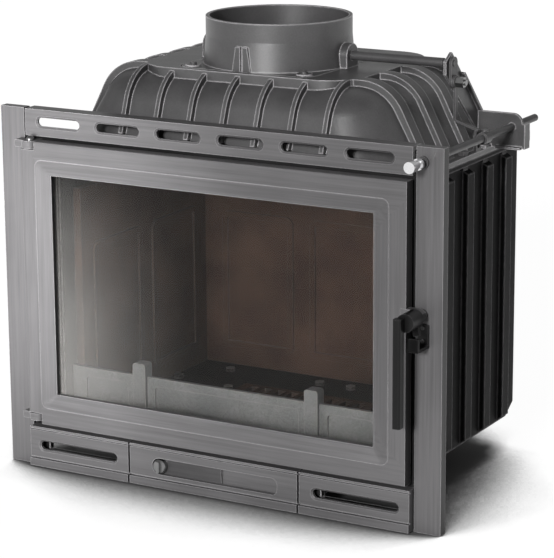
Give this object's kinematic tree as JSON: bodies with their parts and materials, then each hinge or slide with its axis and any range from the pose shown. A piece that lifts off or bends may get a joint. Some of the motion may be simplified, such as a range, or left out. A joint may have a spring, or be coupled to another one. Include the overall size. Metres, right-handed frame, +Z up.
{
  "type": "fireplace insert",
  "caption": "Cast iron fireplace insert with a ribbed firebox, domed hood, round flue collar with damper, glazed side-hung door, ash drawer and air slider.",
  "frame": {"origin": "centre of the overall bounding box at the bottom of the surround, on the hearth", "axes": "+X to the right seen from the front, +Y back into the chimney breast, +Z up towards the flue"},
  "size_m": [0.67, 0.4684, 0.631],
  "materials": {
    "surround_grey": "satin",
    "body_black": "matte",
    "hood_grey": "matte",
    "guard_grey": "rough",
    "lining_iron": "rough",
    "handle_black": "gloss",
    "plated_steel": "zinc plated",
    "dark_steel": "satin",
    "chrome": "polished",
    "glass": "clear heat resisting",
    "rope": "woven glass fibre rope",
    "pan_steel": "bare sheet"
  },
  "bodies": {
    "insert": {"front_plate": "body_black", "left_trim": "surround_grey", "right_trim": "surround_grey", "top_grille": "surround_grey", "lower_left_grille": "surround_grey", "lower_right_grille": "surround_grey", "surround_screws": "plated_steel", "rod_bush": "dark_steel", "hinge_blocks": "surround_grey", "hinge_pins": "chrome", "latch_keeper": "handle_black", "keeper_screws": "dark_steel", "left_side_wall": "body_black", "right_side_wall": "body_black", "rear_wall": "body_black", "base_plate": "body_black", "ash_chamber": "body_black", "floor_bolts": "dark_steel", "plate_bolts": "dark_steel", "hood": "hood_grey", "hood_bolts": "dark_steel", "hood_nuts": "dark_steel", "flue_collar": "hood_grey", "collar_screws": "dark_steel", "damper_bracket": "hood_grey", "left_lining": "lining_iron", "right_lining": "lining_iron", "rear_lining": "lining_iron", "baffle_plate": "lining_iron", "fire_grate": "lining_iron", "log_guard": "guard_grey"},
    "door": {"door_frame": "surround_grey", "door_glass": "glass", "glass_gasket": "rope", "glass_retainer": "pan_steel", "retainer_screws": "plated_steel", "door_gasket": "rope"},
    "handle": {"handle_hub": "handle_black", "handle_grip": "handle_black", "grip_screw": "dark_steel", "spindle_clip": "plated_steel"},
    "ash_drawer": {"ash_front": "surround_grey", "ash_pan": "pan_steel", "pan_rivets": "plated_steel"},
    "air_slider": {"air_slider": "body_black", "slider_knob": "chrome"},
    "damper_rod": {"damper_rod": "dark_steel", "rod_knob": "chrome", "rod_clamp": "dark_steel", "clamp_screw": "dark_steel"},
    "damper": {"damper_shaft": "dark_steel", "damper_flap": "body_black", "flap_screws": "dark_steel", "damper_crank": "dark_steel", "damper_lever": "dark_steel", "lever_bolt": "plated_steel", "damper_nuts": "plated_steel"}
  },
  "joints": [
    {"name": "door_hinge", "type": "hinge", "parent": "insert", "child": "door", "pos_m": [-0.282, -0.18125, 0.266], "axis": [0, 0, -1], "range_deg": [0, 115]},
    {"name": "handle_turn", "type": "hinge", "parent": "door", "child": "handle", "pos_m": [0.306, -0.20225, 0.292], "axis": [0, -1, 0], "range_deg": [0, 75]},
    {"name": "ash_drawer_slide", "type": "slide", "parent": "insert", "child": "ash_drawer", "axis": [0, -1, 0], "range_m": [0, 0.28]},
    {"name": "air_slide", "type": "slide", "parent": "ash_drawer", "child": "air_slider", "axis": [1, 0, 0], "range_m": [0, 0.07]},
    {"name": "damper_pull", "type": "slide", "parent": "insert", "child": "damper_rod", "axis": [0, -1, 0], "range_m": [-0.009, 0.045]},
    {"name": "damper_turn", "type": "hinge", "parent": "insert", "child": "damper", "pos_m": [0, 0.00925, 0.583], "axis": [1, 0, 0], "range_deg": [-26.5, 6]}
  ],
  "couplings": [
    {"joint": "damper_turn", "follows": "damper_pull", "rad_per_m": -10}
  ]
}
